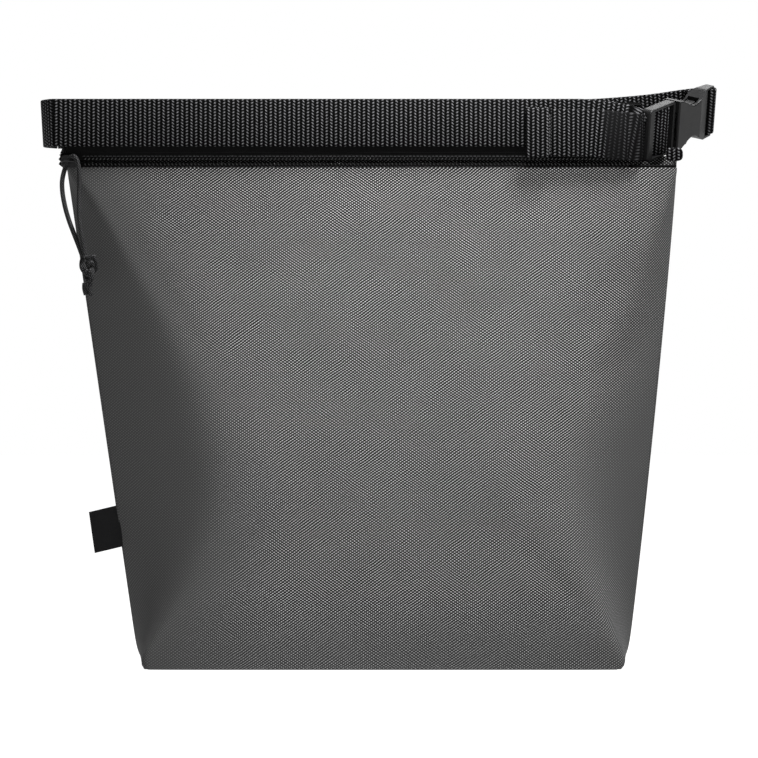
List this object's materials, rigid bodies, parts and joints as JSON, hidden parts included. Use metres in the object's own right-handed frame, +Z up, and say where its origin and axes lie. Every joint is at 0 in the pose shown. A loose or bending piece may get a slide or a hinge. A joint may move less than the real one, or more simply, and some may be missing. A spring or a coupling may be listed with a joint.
{
  "type": "insulated bag",
  "caption": "Soft insulated bag with a boxed base and tapered sides, a zipped mouth under a black collar, and a webbing strap closed by a side-release buckle",
  "frame": {"origin": "the middle of the base, on the surface that the bag stands on", "axes": "+X to the right seen from the front, -Y to the front where the zip is, +Z up"},
  "size_m": [0.3421, 0.0893, 0.2944],
  "materials": {
    "grey_oxford": "woven polyester cloth, mid grey, matt, fine square weave",
    "foam": "white closed-cell foam sheet",
    "foil": "silver foil film, smooth and bright",
    "black_cloth": "black woven polyester cloth, matt",
    "zip_tape": "black woven zip tape, matt",
    "zip_coil": "black nylon coil, slightly bright",
    "slider_paint": "black painted zinc, half gloss",
    "cord": "black braided cord, matt",
    "webbing": "black ribbed webbing, slightly bright",
    "acetal": "black moulded acetal, satin",
    "label_cloth": "black woven label, left bare"
  },
  "bodies": {
    "insulated_body": {"front_panel": "grey_oxford", "back_panel": "grey_oxford", "left_gusset": "grey_oxford", "right_gusset": "grey_oxford", "base_panel": "grey_oxford", "front_foam": "foam", "back_foam": "foam", "left_foam": "foam", "right_foam": "foam", "base_foam": "foam", "foil_liner": "foil", "lower_zip_tape": "zip_tape", "lower_zip_coil": "zip_coil", "left_zip_end": "black_cloth", "right_zip_end": "black_cloth", "zip_end_tab": "zip_tape", "side_label": "label_cloth"},
    "collar": {"collar_front": "black_cloth", "collar_back": "black_cloth", "upper_zip_tape": "zip_tape", "upper_zip_coil": "zip_coil", "front_webbing": "webbing", "left_webbing_turn": "webbing", "back_webbing": "webbing", "buckle_socket": "acetal"},
    "zip_slider": {"slider": "slider_paint"},
    "zip_pull": {"pull_cord_left": "cord", "pull_cord_right": "cord", "cord_knot": "cord", "cord_tail_1": "cord", "cord_tail_2": "cord"},
    "strap_plug": {"buckle_plug": "acetal", "adjuster_webbing": "webbing", "webbing_hem": "webbing"},
    "upper_latch": {"latch_arm_upper": "acetal"},
    "lower_latch": {"latch_arm_lower": "acetal"}
  },
  "joints": [
    {"name": "zip_slide", "type": "slide", "parent": "insulated_body", "child": "zip_slider", "axis": [1, 0, 0], "range_m": [0, 0.221]},
    {"name": "pull_swing", "type": "hinge", "parent": "zip_slider", "child": "zip_pull", "pos_m": [-0.1565, -0.01455, 0.2525], "axis": [-1, 0, 0], "range_deg": [0, 80]},
    {"name": "collar_fold", "type": "hinge", "parent": "insulated_body", "child": "collar", "pos_m": [0, 0.00925, 0.25685], "axis": [-1, 0, 0], "range_deg": [0, 90]},
    {"name": "buckle_release", "type": "slide", "parent": "collar", "child": "strap_plug", "axis": [-0.5484, -0.7979, -0.2504], "range_m": [0, 0.032], "deforming": ["latch_arm_upper", "latch_arm_lower"]},
    {"name": "upper_latch_press", "type": "hinge", "parent": "strap_plug", "child": "upper_latch", "pos_m": [0.14577, 0.00944, 0.27669], "axis": [-0.8349, 0.5055, 0.2178], "range_deg": [0, 8], "stiffness_Nm_per_rad": 0.05},
    {"name": "lower_latch_press", "type": "hinge", "parent": "strap_plug", "child": "lower_latch", "pos_m": [0.14527, 0.01293, 0.26669], "axis": [0.8349, -0.5055, -0.2178], "range_deg": [0, 8], "stiffness_Nm_per_rad": 0.05}
  ]
}
